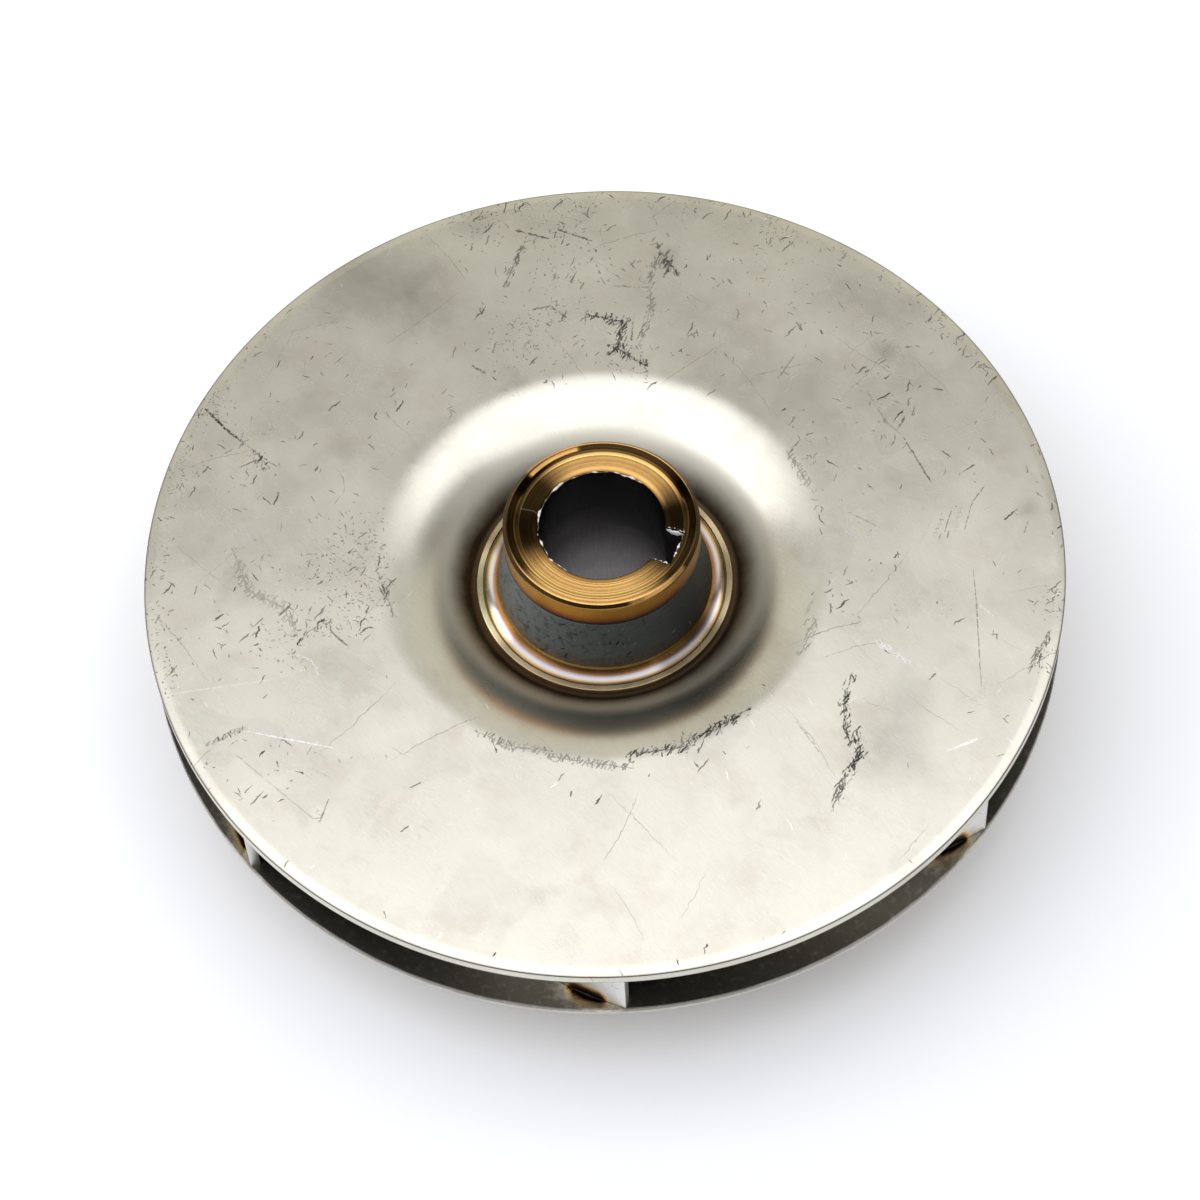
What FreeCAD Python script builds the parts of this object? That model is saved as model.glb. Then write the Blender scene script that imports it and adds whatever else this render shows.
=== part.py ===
"""Closed radial pump impeller, welded from pressed sheet and a turned hub.

Millimetres. The impeller stands on the foot of its suction neck, which is the plane
z = 0, with the shaft axis along +Z and the origin on that axis. From below upwards:
the front shroud with its drawn neck, seven sheet blades, the dished back plate, and
the hub that sits in the dish and carries the shaft bore and its keyway.
"""
import FreeCAD, Part
import math
import os

# --- impeller as a whole ---------------------------------------------------------
impeller_diameter = 140.0
outlet_width = 8.9              # clear height between the two discs at the rim
weld_gap = 0.05                 # fit-up gap along the edges of the blades
bend_sag = 0.1                  # how far the flats of a bend may lie inside its arc

# --- front shroud ----------------------------------------------------------------
shroud_thickness = 1.5
shroud_slope = 10.0             # degrees, the shroud drops towards the eye
eye_diameter = 63.0             # inside of the suction neck
neck_length = 6.0               # straight part of the neck
neck_bend_radius = 5.0          # outside of the bend between neck and shroud
neck_edge_chamfer = 0.4

# --- back plate ------------------------------------------------------------------
plate_thickness = 2.0
rim_bevel_width = 1.6           # the outermost band falls away a little
rim_bevel_drop = 0.25
dish_diameter = 70.4            # where the flat ends and the dish starts
dish_depth = 6.9
dish_floor_diameter = 40.0      # flat seat of the hub's flange
dish_floor_radius = 1.0         # upper face, at the foot of the dish wall

# --- blades ----------------------------------------------------------------------
blade_count = 7
blade_thickness = 1.5
blade_inlet_radius = 37.0       # just outside the bend of the shroud
blade_rim_setback = 0.1         # the tips stop just short of the rim
blade_inlet_angle = 22.0        # degrees from the tangent
blade_outlet_angle = 23.0
blade_tip_azimuth = 269.4       # first blade, outer corner of its tip

# --- hub -------------------------------------------------------------------------
bore_diameter = 19.0
key_width = 6.0
key_depth = 2.8                 # from the bore wall to the keyway floor
key_azimuth = -24.5
hub_length = 33.0
hub_rise = 10.4                 # hub end above the flat of the back plate
collar_diameter = 29.7          # plain cylinder at the hub end
collar_length = 5.0
collar_chamfer = 0.45
end_ring_width = 1.15           # raised ring at the hub end
end_step_slope = 0.85           # radial width of the slope inside that ring
end_step_depth = 0.3
bore_chamfer_width = 0.9
bore_chamfer_depth = 0.35
skirt_diameter = 32.6           # the flared skirt below the collar
skirt_hollow = 0.25             # how far its wall is drawn in, halfway up
skirt_lip = 0.25                # small bead at the foot of the skirt
skirt_foot_above_seat = 2.25
skirt_undercut = 0.2            # the cove runs in under the bead by this much
cove_below_land = 0.4           # lowest part of the polished cove round the skirt
cove_rise = 1.25                # from there up to the bead
land_width = 0.95               # flat turned land at the edge of the flange
flange_diameter = 39.2
flange_height = 0.95            # flange above the floor of the dish
spigot_diameter = 32.6          # passes through the back plate to the end of the hub
spigot_clearance = 0.05
spigot_chamfer = 0.8

# --- heights, from the foot of the neck upwards -------------------------------------
outer_radius = impeller_diameter / 2
neck_inner_radius = eye_diameter / 2
neck_outer_radius = neck_inner_radius + shroud_thickness
slope = math.radians(shroud_slope)
bend_inner_radius = neck_bend_radius + shroud_thickness
bend_centre = (neck_inner_radius + bend_inner_radius, neck_length)
bend_end = 90 + shroud_slope


def bend(centre, radius, start, end):
    """Corners (r, z) along a round bend, both ends included.

    The angles are in degrees, counterclockwise from straight outwards.
    """
    longest = 2 * math.degrees(math.acos(1 - bend_sag / radius))
    flats = math.ceil(abs(end - start) / longest)
    angles = [math.radians(start + (end - start) * flat / flats) for flat in range(flats + 1)]
    return [(centre[0] + radius * math.cos(angle), centre[1] + radius * math.sin(angle))
            for angle in angles]


def shroud_height(r, bend_radius):
    """Height of the conical part of the shroud at radius r, on that side of the sheet."""
    start = bend(bend_centre, bend_radius, 180, bend_end)[-1]
    return start[1] + (r - start[0]) * math.tan(slope)


shroud_rim_top = shroud_height(outer_radius, bend_inner_radius)
plate_underside = shroud_rim_top + outlet_width
plate_top = plate_underside + plate_thickness
dish_floor = plate_top - dish_depth
hub_top = plate_top + hub_rise
hub_bottom = hub_top - hub_length


def turned(outline):
    """Solid of revolution about Z, from a closed list of corners (r, z)."""
    corners = [FreeCAD.Vector(r, 0, z) for r, z in outline + outline[:1]]
    face = Part.Face(Part.makePolygon(corners))
    return face.revolve(FreeCAD.Vector(0, 0, 0), FreeCAD.Vector(0, 0, 1), 360)


def rotated(shape, degrees):
    """Copy of a shape turned about the shaft axis."""
    copy = shape.copy()
    copy.rotate(FreeCAD.Vector(0, 0, 0), FreeCAD.Vector(0, 0, 1), degrees)
    return copy


# --- front shroud ----------------------------------------------------------------
def make_front_shroud():
    """Pressed disc: straight neck, bend, then a cone that rises to the rim."""
    return turned([
        (neck_inner_radius + neck_edge_chamfer, 0),
        (neck_outer_radius - neck_edge_chamfer, 0),
        (neck_outer_radius, neck_edge_chamfer),
        *bend(bend_centre, neck_bend_radius, 180, bend_end),
        (outer_radius, shroud_height(outer_radius, neck_bend_radius)),
        (outer_radius, shroud_rim_top),
        *bend(bend_centre, bend_inner_radius, bend_end, 180),
        (neck_inner_radius, neck_edge_chamfer),
    ])


# --- back plate ------------------------------------------------------------------
def dish_wall(offset):
    """Corners of the dish from its floor out to the flat, offset below the upper face.

    The wall is a tight bend at the floor and a wide one up to the flat, which meet where
    it is steepest. Both faces of the sheet share the centres of the bends.
    """
    run = (dish_diameter - dish_floor_diameter) / 2
    steepest = 2 * math.degrees(math.atan(dish_depth / run))
    shoulder_radius = (run ** 2 + dish_depth ** 2) / (2 * dish_depth) - dish_floor_radius
    floor_centre = (dish_floor_diameter / 2, dish_floor + dish_floor_radius)
    shoulder_centre = (dish_diameter / 2, plate_top - shoulder_radius)
    foot = bend(floor_centre, dish_floor_radius + offset, 270, 270 + steepest)
    wall = bend(shoulder_centre, shoulder_radius - offset, 90 + steepest, 90)
    return foot[:-1] + wall


def make_back_plate():
    """Pressed disc with a flat outer band, a dished middle and a hole for the hub."""
    hole_radius = spigot_diameter / 2 + spigot_clearance
    upper = dish_wall(0)
    lower = dish_wall(plate_thickness)
    return turned([
        (hole_radius, dish_floor - plate_thickness),
        *lower,
        (outer_radius, plate_underside),
        (outer_radius, plate_top - rim_bevel_drop),
        (outer_radius - rim_bevel_width, plate_top),
        *reversed(upper),
        (hole_radius, dish_floor),
    ])


# --- blades ----------------------------------------------------------------------
def make_passage():
    """Space that the blades fill: between the two discs, less the weld gap."""
    low = weld_gap / math.cos(slope)
    high = plate_underside - weld_gap
    start = bend_centre[0]
    return turned([
        (start, shroud_height(start, bend_inner_radius) + low),
        (outer_radius, shroud_rim_top + low),
        (outer_radius, high),
        (start, high),
    ])


def make_blade():
    """Blade bent to a single arc, with square-cut ends; its tip is at azimuth 0.

    The arc meets the inlet and tip radii at the two blade angles. That fixes its radius
    and the distance from the shaft axis to its centre.
    """
    tip_radius = outer_radius - blade_rim_setback
    inlet_cos = math.cos(math.radians(blade_inlet_angle))
    outlet_cos = math.cos(math.radians(blade_outlet_angle))
    arc_radius = ((tip_radius ** 2 - blade_inlet_radius ** 2)
                  / (2 * (tip_radius * outlet_cos - blade_inlet_radius * inlet_cos)))
    centre_distance = math.sqrt(tip_radius ** 2 + arc_radius ** 2
                                - 2 * tip_radius * arc_radius * outlet_cos)

    def turn_at(r):
        cosine = ((centre_distance ** 2 + arc_radius ** 2 - r ** 2)
                  / (2 * centre_distance * arc_radius))
        return math.acos(cosine)

    def on_arc(radius, turn):
        return FreeCAD.Vector(centre_distance - radius * math.cos(turn),
                              -radius * math.sin(turn), 0)

    start = turn_at(blade_inlet_radius)
    end = turn_at(tip_radius)
    middle = (start + end) / 2
    inner = arc_radius - blade_thickness
    section = Part.Wire([
        Part.Arc(on_arc(arc_radius, start), on_arc(arc_radius, middle),
                 on_arc(arc_radius, end)).toShape(),
        Part.LineSegment(on_arc(arc_radius, end), on_arc(inner, end)).toShape(),
        Part.Arc(on_arc(inner, end), on_arc(inner, middle), on_arc(inner, start)).toShape(),
        Part.LineSegment(on_arc(inner, start), on_arc(arc_radius, start)).toShape(),
    ])
    strip = Part.Face(section).extrude(FreeCAD.Vector(0, 0, plate_top))
    tip = on_arc(arc_radius, end)
    blade = strip.common(make_passage()).Solids[0]
    return rotated(blade, -math.degrees(math.atan2(tip.y, tip.x)))


# --- hub -------------------------------------------------------------------------
def make_hub_blank():
    """Turned form of the hub without its keyway."""
    bore = bore_diameter / 2
    collar = collar_diameter / 2
    skirt = skirt_diameter / 2
    flange = flange_diameter / 2
    spigot = spigot_diameter / 2
    ring_outer = collar - collar_chamfer
    ring_inner = ring_outer - end_ring_width
    step_inner = ring_inner - end_step_slope
    step = hub_top - end_step_depth
    skirt_top = hub_top - collar_length
    skirt_foot = dish_floor + skirt_foot_above_seat
    skirt_waist = ((collar + skirt) / 2 - skirt_hollow, (skirt_top + skirt_foot) / 2)
    land = dish_floor + flange_height
    cove_outer = flange - land_width
    cove_run = cove_outer - skirt + skirt_undercut
    cove_radius = (cove_run ** 2 + cove_rise ** 2) / (2 * cove_rise)
    cove_turn = 2 * math.degrees(math.atan(cove_rise / cove_run))
    cove_centre = (cove_outer, land - cove_below_land + cove_radius)
    cove = bend(cove_centre, cove_radius, 270, 270 - cove_turn)
    return turned([
        (bore + spigot_chamfer, hub_bottom),
        (spigot - spigot_chamfer, hub_bottom),
        (spigot, hub_bottom + spigot_chamfer),
        (spigot, dish_floor),
        (flange, dish_floor),
        (flange, land),
        (cove_outer, land),
        *cove,
        (skirt + skirt_lip, cove[-1][1]),
        (skirt, skirt_foot),
        skirt_waist,
        (collar, skirt_top),
        (collar, hub_top - collar_chamfer),
        (ring_outer, hub_top),
        (ring_inner, hub_top),
        (step_inner, step),
        (bore + bore_chamfer_width, step),
        (bore, step - bore_chamfer_depth),
        (bore, hub_bottom + spigot_chamfer),
    ])


def make_hub():
    """Hub with its keyway cut along the whole bore."""
    reach = bore_diameter / 2 + key_depth
    keyway = Part.makeBox(reach, key_width, hub_length)
    keyway.translate(FreeCAD.Vector(0, -key_width / 2, hub_bottom))
    return make_hub_blank().cut(rotated(keyway, key_azimuth)).Solids[0]


# --- all pieces --------------------------------------------------------------------
def make_pieces():
    """Every piece by its node name."""
    pieces = {
        "front_shroud": make_front_shroud(),
        "back_plate": make_back_plate(),
        "hub": make_hub(),
    }
    blade = make_blade()
    pitch = 360.0 / blade_count
    for number in range(blade_count):
        azimuth = blade_tip_azimuth + number * pitch
        pieces["blade_%d" % (number + 1)] = rotated(blade, azimuth)
    return pieces


os.makedirs("parts", exist_ok=True)
for name, piece in make_pieces().items():
    piece.exportStep("parts/%s.step" % name)
    print("%-14s valid %s  volume %.1f" % (name, piece.isValid(), piece.Volume))
print("height", hub_top, "plate top", plate_top, "shroud rim top", shroud_rim_top)
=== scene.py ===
"""Looks of a welded pump impeller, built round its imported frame.

Metres, in the frame's own axes: the shaft runs along +Z and the impeller stands on the
foot of its suction neck. Lengths that are easier to read in millimetres are written with MM.
"""
import math

import bmesh
import bpy
import numpy as np
from mathutils import Matrix, Vector


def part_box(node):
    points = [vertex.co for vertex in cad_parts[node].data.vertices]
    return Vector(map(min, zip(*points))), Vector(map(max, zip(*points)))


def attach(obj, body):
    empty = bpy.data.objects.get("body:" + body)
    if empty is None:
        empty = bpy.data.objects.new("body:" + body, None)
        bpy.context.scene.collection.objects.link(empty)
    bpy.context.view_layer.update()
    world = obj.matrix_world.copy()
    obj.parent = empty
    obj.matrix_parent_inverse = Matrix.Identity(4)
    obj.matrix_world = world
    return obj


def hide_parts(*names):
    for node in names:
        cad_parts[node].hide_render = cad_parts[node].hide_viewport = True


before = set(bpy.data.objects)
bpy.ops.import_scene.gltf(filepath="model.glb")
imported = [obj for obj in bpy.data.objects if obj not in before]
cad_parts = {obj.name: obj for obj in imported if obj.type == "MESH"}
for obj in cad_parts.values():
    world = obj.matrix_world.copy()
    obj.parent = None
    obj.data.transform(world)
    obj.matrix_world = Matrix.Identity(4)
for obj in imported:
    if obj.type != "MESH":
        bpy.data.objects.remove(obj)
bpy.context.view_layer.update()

MM = 0.001

# --- sizes, from the frame where it has them ---
plate_low, plate_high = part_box("back_plate")
shroud_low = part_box("front_shroud")[0]
hub_low, hub_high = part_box("hub")
BLADE_COUNT = sum(name.startswith("blade_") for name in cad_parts)

RIM = min(plate_high.x, plate_high.y)
PLATE_TOP = plate_high.z
SHEET = 2.0 * MM                          # back plate
SHROUD_SHEET = 1.5 * MM
DISH_FLOOR = plate_low.z + SHEET
DISH_RADIUS = 35.2 * MM                   # where the flat ends
DISH_FLOOR_RADIUS = 20.0 * MM
DISH_FOOT = 1.0 * MM                      # fillet at the foot of the dish wall
RIM_BEVEL = (1.4 * MM, 0.18 * MM)         # width and drop
DRAW_DOWN = 0.09 * MM                     # how far the welds pull the plate down at the rim

FOOT = shroud_low.z
NECK = 31.5 * MM                          # inside of the suction neck
NECK_LENGTH = 6.0 * MM
NECK_BEND = 5.0 * MM
SHROUD_SLOPE = math.radians(10)

HUB_TOP = hub_high.z
FLANGE = hub_high.x
BORE = 9.5 * MM
KEY_HALF = 3.0 * MM
KEY_FLOOR = 12.3 * MM
KEY_AZIMUTH = math.radians(-24.5)
SPIGOT = 16.3 * MM
CLEARANCE = 0.05 * MM                     # between the spigot and the plate

BLADE_SHEET = 1.5 * MM
BLADE_INLET = 37.0 * MM
BLADE_TIP = RIM - 0.1 * MM
BLADE_ANGLES = (math.radians(22), math.radians(23))
FIRST_TIP = 269.4                         # azimuth of the first blade's outer corner

PLATE_STEPS, SHROUD_STEPS, HUB_STEPS = 430, 480, 234    # azimuths round the turned pieces
ARC_STEP = 9                              # coarsest step along a fillet, in degrees
NEARLY_STRAIGHT = 1.56                    # half the angle of a corner too flat to round
SAME_PLACE = 0.002 * MM                   # points this near each other become one
NOISE_WAVES = 24


# --- surfaces ---
def unit(vector):
    """The vector at length one."""
    return vector / np.hypot(*vector)


def arc(centre, radius, start, end, count):
    """Points on a circle about centre, from one angle in degrees to the other."""
    turn = np.radians(np.linspace(start, end, count))
    return np.stack([centre[0] + radius * np.cos(turn), centre[1] + radius * np.sin(turn)], -1)


def rounded_outline(corners, spacing):
    """Closed outline (r, z) through corners (r, z, fillet radius, spacing after it).

    Each corner gives way to the arc of that radius which touches both of its sides. The
    straight stretches between arcs are divided evenly, no coarser than the spacing.
    """
    full = [(*corner, *(0.0, spacing)[len(corner) - 2:]) for corner in corners]
    arcs = []
    for index, (r, z, radius, step) in enumerate(full):
        here = np.array([r, z])
        back = unit(np.array(full[index - 1][:2]) - here)
        ahead = unit(np.array(full[(index + 1) % len(full)][:2]) - here)
        half = math.acos(float(np.clip(back @ ahead, -1, 1))) / 2
        if radius <= 0 or half > NEARLY_STRAIGHT:
            arcs.append(here[None])
            continue
        centre = here + unit(back + ahead) * radius / math.sin(half)
        spokes = [here + side * radius / math.tan(half) - centre for side in (back, ahead)]
        start, end = (math.degrees(math.atan2(spoke[1], spoke[0])) for spoke in spokes)
        end = start + (end - start + 180) % 360 - 180
        sweep = abs(end - start)
        count = 2 + int(max(sweep / ARC_STEP, radius * math.radians(sweep) / step))
        arcs.append(arc(centre, radius, start, end, count))
    pieces = []
    for index, points in enumerate(arcs):
        after = arcs[(index + 1) % len(arcs)][0]
        gap = float(np.hypot(*(after - points[-1])))
        count = max(1, math.ceil(gap / full[index][3]))
        share = np.linspace(0, 1, count, endpoint=False)[1:, None]
        pieces += [points, points[-1] * (1 - share) + after * share]
    return np.concatenate(pieces)


def new_object(name, data):
    """Object with this data, linked to the scene."""
    made = bpy.data.objects.new(name, data)
    bpy.context.scene.collection.objects.link(made)
    return made


def grid_piece(name, points, wrap_rows=True, crease=40, layers=None):
    """Mesh object from a grid of points (rows, columns, 3), one quad between four neighbours.

    The last column joins the first, and so do the rows if they wrap. Neighbours at the same
    place are merged, which closes poles and ends, and a closed shell that comes out inside
    out is turned. Each layer is a value or a vector for every point, kept as an attribute.
    Edges sharper than the crease, in degrees, stay sharp.
    """
    rows, columns = points.shape[:2]
    index = np.arange(rows * columns).reshape(rows, columns)
    row = np.arange(rows if wrap_rows else rows - 1)[:, None]
    column = np.arange(columns)[None, :]
    next_row, next_column = (row + 1) % rows, (column + 1) % columns
    quads = np.stack([index[row, column], index[row, next_column],
                      index[next_row, next_column], index[next_row, column]], -1).reshape(-1, 4)
    flat = points.reshape(-1, 3)
    a, b, c, d = (flat[quads[:, k]] for k in range(4))
    if (np.cross(a, b) * c).sum() + (np.cross(a, c) * d).sum() < 0:
        quads = quads[:, ::-1]
    mesh = bpy.data.meshes.new(name)
    mesh.from_pydata(flat.tolist(), [], quads.tolist())
    for key, values in (layers or {}).items():
        wide = values.ndim > 2
        layer = mesh.attributes.new(key, "FLOAT_VECTOR" if wide else "FLOAT", "POINT")
        layer.data.foreach_set("vector" if wide else "value", values.astype(np.float32).ravel())
    work = bmesh.new()
    work.from_mesh(mesh)
    bmesh.ops.remove_doubles(work, verts=work.verts, dist=SAME_PLACE)
    bmesh.ops.dissolve_degenerate(work, edges=work.edges, dist=SAME_PLACE / 2)
    work.to_mesh(mesh)
    work.free()
    mesh.shade_smooth()
    mesh.set_sharp_from_angle(angle=math.radians(crease))
    piece = new_object(name, mesh)
    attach(piece, "root")
    return piece


def turned(profile, azimuths):
    """Grid of the profile (r, z) carried round the shaft: x = r cos a, y = r sin a."""
    r, z = profile[:, :1], profile[:, 1:]
    return np.stack([r * np.cos(azimuths), r * np.sin(azimuths),
                     np.broadcast_to(z, (len(profile), len(azimuths)))], -1)


def full_circle(count):
    """Azimuths spaced evenly round the shaft, the last short of the first."""
    return np.linspace(0, 2 * np.pi, count, endpoint=False)


def soft_noise(a, b, seed):
    """Smooth seeded noise between about -1 and 1: a sum of cosines of random slope and phase."""
    rng = np.random.default_rng(seed)
    slope = rng.normal(size=(2, NOISE_WAVES))
    phase = rng.uniform(0, 2 * np.pi, NOISE_WAVES)
    waves = np.cos(a[..., None] * slope[0] + b[..., None] * slope[1] + phase)
    return waves.sum(-1) / math.sqrt(NOISE_WAVES)


# --- wear and heat, as amounts at each vertex ---
# A mark is its strength (above zero dark, below zero bright), its half width in mm and its
# corners, each a radius in mm and an azimuth in degrees.
MARKS = [
    (1.0, 0.28, [(69, 152), (64, 154), (61, 155)]), (0.7, 0.13, [(61, 155), (58, 156)]),
    (1.0, 0.45, [(58, 156), (55, 158)]), (0.5, 0.3, [(58, 158), (54, 160)]),
    (0.5, 0.11, [(45, 154), (43, 156), (42, 159), (43, 163)]),
    (0.4, 0.1, [(66, 134), (63, 145)]), (0.35, 0.12, [(38, 145), (40, 153)]),
    (0.9, 0.22, [(63, 94), (60, 89)]), (0.9, 0.22, [(64, 100), (61, 95)]),
    (0.8, 0.5, [(61, 99), (58, 101), (55, 103)]),
    (0.8, 0.2, [(48, 101), (48, 97), (45, 94)]), (0.7, 0.3, [(53, 96), (49, 95)]),
    (1.0, 0.9, [(45, 88), (44, 83), (42, 83), (39, 84), (37, 79)]),
    (0.7, 0.5, [(58, 78), (53, 79), (48, 78), (43, 78), (40, 79)]),
    (0.9, 1.3, [(58, 78), (56, 76)]),
    (0.5, 0.15, [(68, 81), (63, 79)]), (0.5, 0.14, [(69, 77), (65, 80)]),
    (0.5, 0.16, [(51, 86), (51, 79)]), (0.8, 0.2, [(42, 117), (39, 115)]),
    (0.5, 0.18, [(51, 34), (50, 26), (51, 22)]), (0.8, 0.2, [(51, 21), (52, 11)]),
    (0.8, 0.28, [(53, 52), (52, 50)]), (0.6, 0.2, [(42, 47), (48, 48)]),
    (0.7, 0.12, [(60, 9), (57, 6), (55, 1)]), (0.7, 0.3, [(51, 5), (48, 359)]),
    (0.6, 0.14, [(54, 6), (52, 1)]), (0.6, 0.5, [(34, 28), (34, 19)]),
    (0.5, 0.16, [(38, 9), (42, 4)]), (0.6, 0.13, [(56, 355), (57, 347), (59, 339), (61, 334)]),
    (0.6, 0.14, [(65, 2), (64, 360)]), (0.8, 0.5, [(67, 340), (68, 344)]),
    (1.0, 0.6, [(43, 325), (44, 321), (46, 318), (48, 316)]),
    (1.0, 0.7, [(49, 317), (51, 315), (52, 311)]), (0.8, 0.6, [(52, 310), (54, 306)]),
    (0.5, 0.12, [(40, 312), (47, 310)]), (0.9, 0.7, [(34, 276), (35, 287), (34, 290)]),
    (1.0, 0.8, [(34, 291), (34, 297), (34, 303)]), (0.6, 0.5, [(34, 335), (34, 329)]),
    (0.6, 0.5, [(32, 341), (31, 337)]), (0.6, 0.6, [(35, 237), (35, 245), (34, 252)]),
    (0.6, 0.6, [(35, 254), (35, 260), (36, 271)]), (1.0, 0.4, [(47, 193), (46, 192), (44, 191)]),
    (0.8, 0.3, [(52, 194), (51, 192), (49, 197)]), (0.8, 0.2, [(43, 193), (41, 198)]),
    (0.8, 0.35, [(65, 205), (63, 205), (61, 205)]), (0.45, 0.1, [(64, 207), (61, 224)]),
    (0.5, 0.9, [(56, 176), (54, 182), (49, 186), (48, 190)]), (0.8, 0.45, [(34, 182), (33, 191)]),
    (0.6, 0.18, [(57, 222), (61, 224)]), (0.5, 0.15, [(53, 213), (55, 214)]),
    (-0.5, 0.14, [(69, 196), (54, 199), (45, 200)]), (-0.9, 0.16, [(60, 206), (51, 216)]),
    (-0.9, 0.25, [(37, 4), (39, 1), (42, 1)]), (-1.0, 0.4, [(45, 336), (48, 335)]),
    (-0.8, 0.2, [(49, 196), (47, 198), (47, 202)]), (-0.8, 0.2, [(57, 348), (60, 346)]),
    (-0.7, 0.2, [(57, 170), (53, 172)]), (-0.8, 0.25, [(64, 327), (61, 323)]),
]
MARK_MARGIN = 1.3                         # how far in mm a mark's layer runs past its width

# A patch is a radius in mm, an azimuth in degrees, a spread in mm and an amount.
SCUFFED = [
    (66, 105, 4, 1.0), (67, 76, 3, 0.9), (42, 106, 5, 0.9), (37, 98, 4, 0.5), (35, 82, 4, 0.7),
    (36, 170, 6, 0.8), (46, 344, 4, 0.4), (68, 37, 3, 0.9), (67, 63, 3, 0.9), (69, 186, 4, 1.0),
    (69, 175, 4, 1.0), (68, 163, 4, 0.9), (68, 152, 4, 0.9), (69, 195, 4, 0.8), (51, 194, 5, 0.8),
    (35, 189, 4, 0.8), (68, 350, 3, 0.7), (69, 341, 3, 0.9), (34, 262, 4, 0.7), (34, 290, 4, 0.8),
    (58, 160, 9, 0.4), (50, 95, 10, 0.5), (62, 92, 8, 0.4), (49, 28, 6, 0.4), (35, 25, 4, 0.6),
    (34, 10, 4, 0.6), (52, 355, 8, 0.3), (45, 180, 9, 0.5), (62, 120, 9, -0.5), (63, 218, 6, 0.3),
    (60, 60, 8, 0.4), (57, 48, 7, 0.3), (36, 345, 4, 0.5), (66, 209, 4, 0.5),
    (38, 176, 5, 0.9), (40, 192, 5, 0.7), (61, 190, 7, 0.4), (57, 214, 8, 0.35),
]
SMUDGED = [
    (60, 121, 9, 0.8), (68, 126, 5, 0.5), (54, 319, 6, 0.9), (52, 328, 4, 0.9), (45, 43, 7, 0.55),
    (58, 37, 2, 0.9), (65, 4, 2, 0.9), (64, 316, 8, 0.3), (66, 105, 4, 0.6), (36, 110, 3, 0.5),
    (57, 77, 2, 0.9), (60, 30, 9, 0.35), (55, 182, 4, 0.5), (50, 70, 8, 0.2), (38, 60, 5, 0.35),
    (45, 150, 2, 0.6), (57, 262, 4, 0.25), (63, 254, 3, 0.3), (61, 248, 2, 0.3),
    (33, 225, 4, 0.3),
]


def on_plate(radius, azimuth):
    """Place (x, y) in mm of a radius in mm and an azimuth in degrees."""
    turn = np.radians(azimuth)
    return np.array([radius * np.cos(turn), radius * np.sin(turn)])


def nearest_mark(x, y):
    """How each vertex lies to the mark nearest to it: (share run, signed distance, half width).

    Near one mark all three change evenly, so a thin line stays sharp between vertices. The
    second result is the mark's strength, zero beyond its half width and the margin.
    """
    best = np.full(x.shape, np.inf)
    place = np.zeros(x.shape + (3,))
    strength = np.zeros(x.shape)
    for tone, width, corners in MARKS:
        path = np.array([on_plate(*corner) for corner in corners])
        lengths = np.hypot(*np.diff(path, axis=0).T)
        gone = 0.0
        for start, run, length in zip(path, np.diff(path, axis=0), lengths):
            along = ((x - start[0]) * run[0] + (y - start[1]) * run[1]) / length
            across = ((x - start[0]) * run[1] - (y - start[1]) * run[0]) / length
            distance = np.hypot(across, along - np.clip(along, 0, length))
            closer = distance < best
            best = np.where(closer, distance, best)
            share = (gone + along) / lengths.sum()
            place[closer] = np.stack([share, across, np.full_like(x, width)], -1)[closer]
            strength[closer] = tone
            gone += length
    return place, np.where(best < place[..., 2] + MARK_MARGIN, strength, 0)


def patches(x, y, spots):
    """Sum of soft round patches: amount times exp(-(distance / spread)^2)."""
    total = np.zeros(x.shape)
    for radius, azimuth, spread, amount in spots:
        centre = on_plate(radius, azimuth)
        total += amount * np.exp(-((x - centre[0]) ** 2 + (y - centre[1]) ** 2) / spread ** 2)
    return total


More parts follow.
